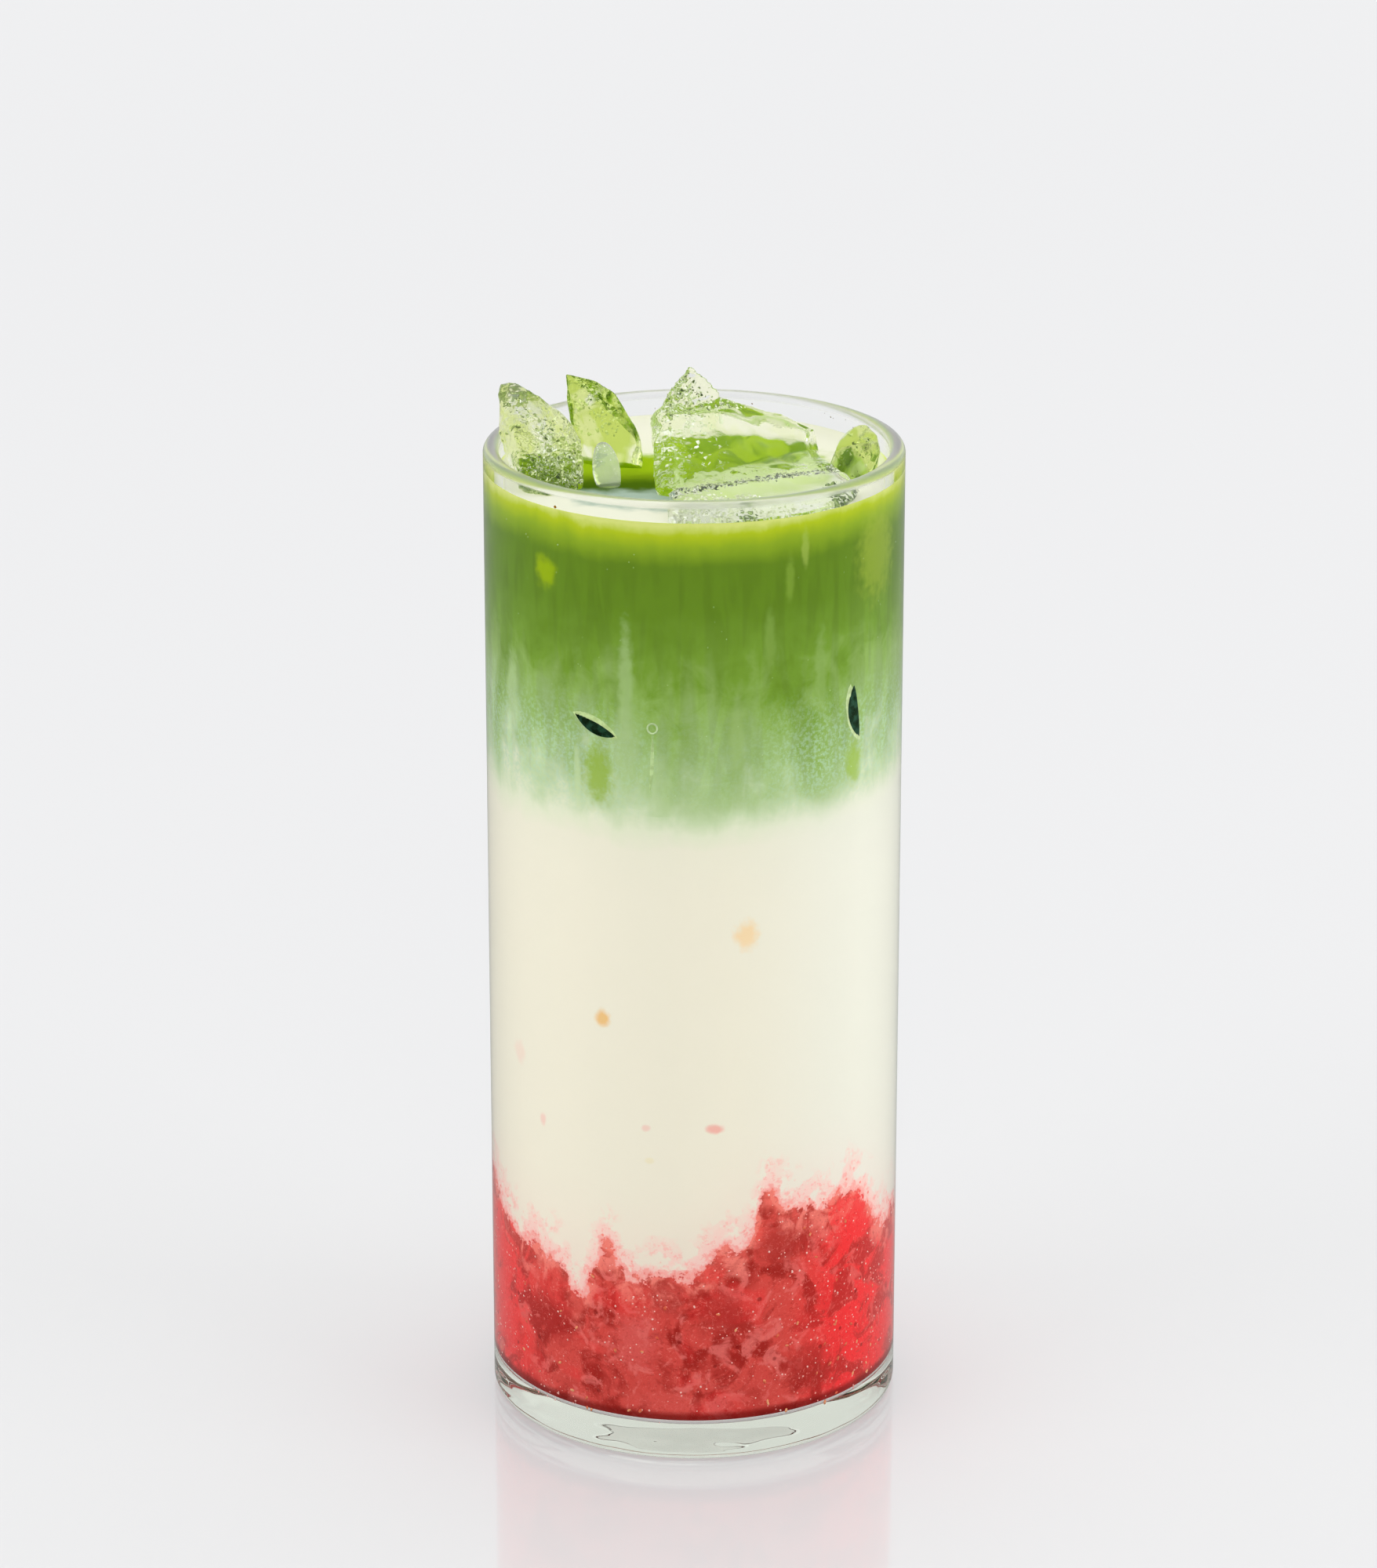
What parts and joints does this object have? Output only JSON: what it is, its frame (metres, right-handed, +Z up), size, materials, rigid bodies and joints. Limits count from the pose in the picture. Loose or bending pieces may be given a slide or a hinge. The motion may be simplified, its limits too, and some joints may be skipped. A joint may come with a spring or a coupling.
{
  "type": "iced matcha latte in a glass",
  "caption": "Tall straight clear glass with a thick floor, filled with layers of strawberry puree, milk and matcha, with clear ice standing out of the top.",
  "frame": {"origin": "middle of the underside of the glass, on the plane it stands on", "axes": "+Z up along the glass's axis, -Y is the front that faces the viewer, +X to the viewer's right"},
  "size_m": [0.066, 0.066, 0.1716],
  "materials": {
    "clear_glass": "clear, fire-polished, faintly green in the thick floor",
    "strawberry_puree": "wet crushed fruit",
    "milk": "opaque cream liquid",
    "matcha": "opaque green liquid",
    "ice": "clear and part frosted, melting"
  },
  "bodies": {
    "root": {"glass": "clear_glass", "strawberry_puree": "strawberry_puree", "milk": "milk", "matcha": "matcha", "ice_large": "ice", "ice_left": "ice", "ice_fin": "ice", "ice_right": "ice", "ice_nub": "ice"}
  },
  "joints": []
}
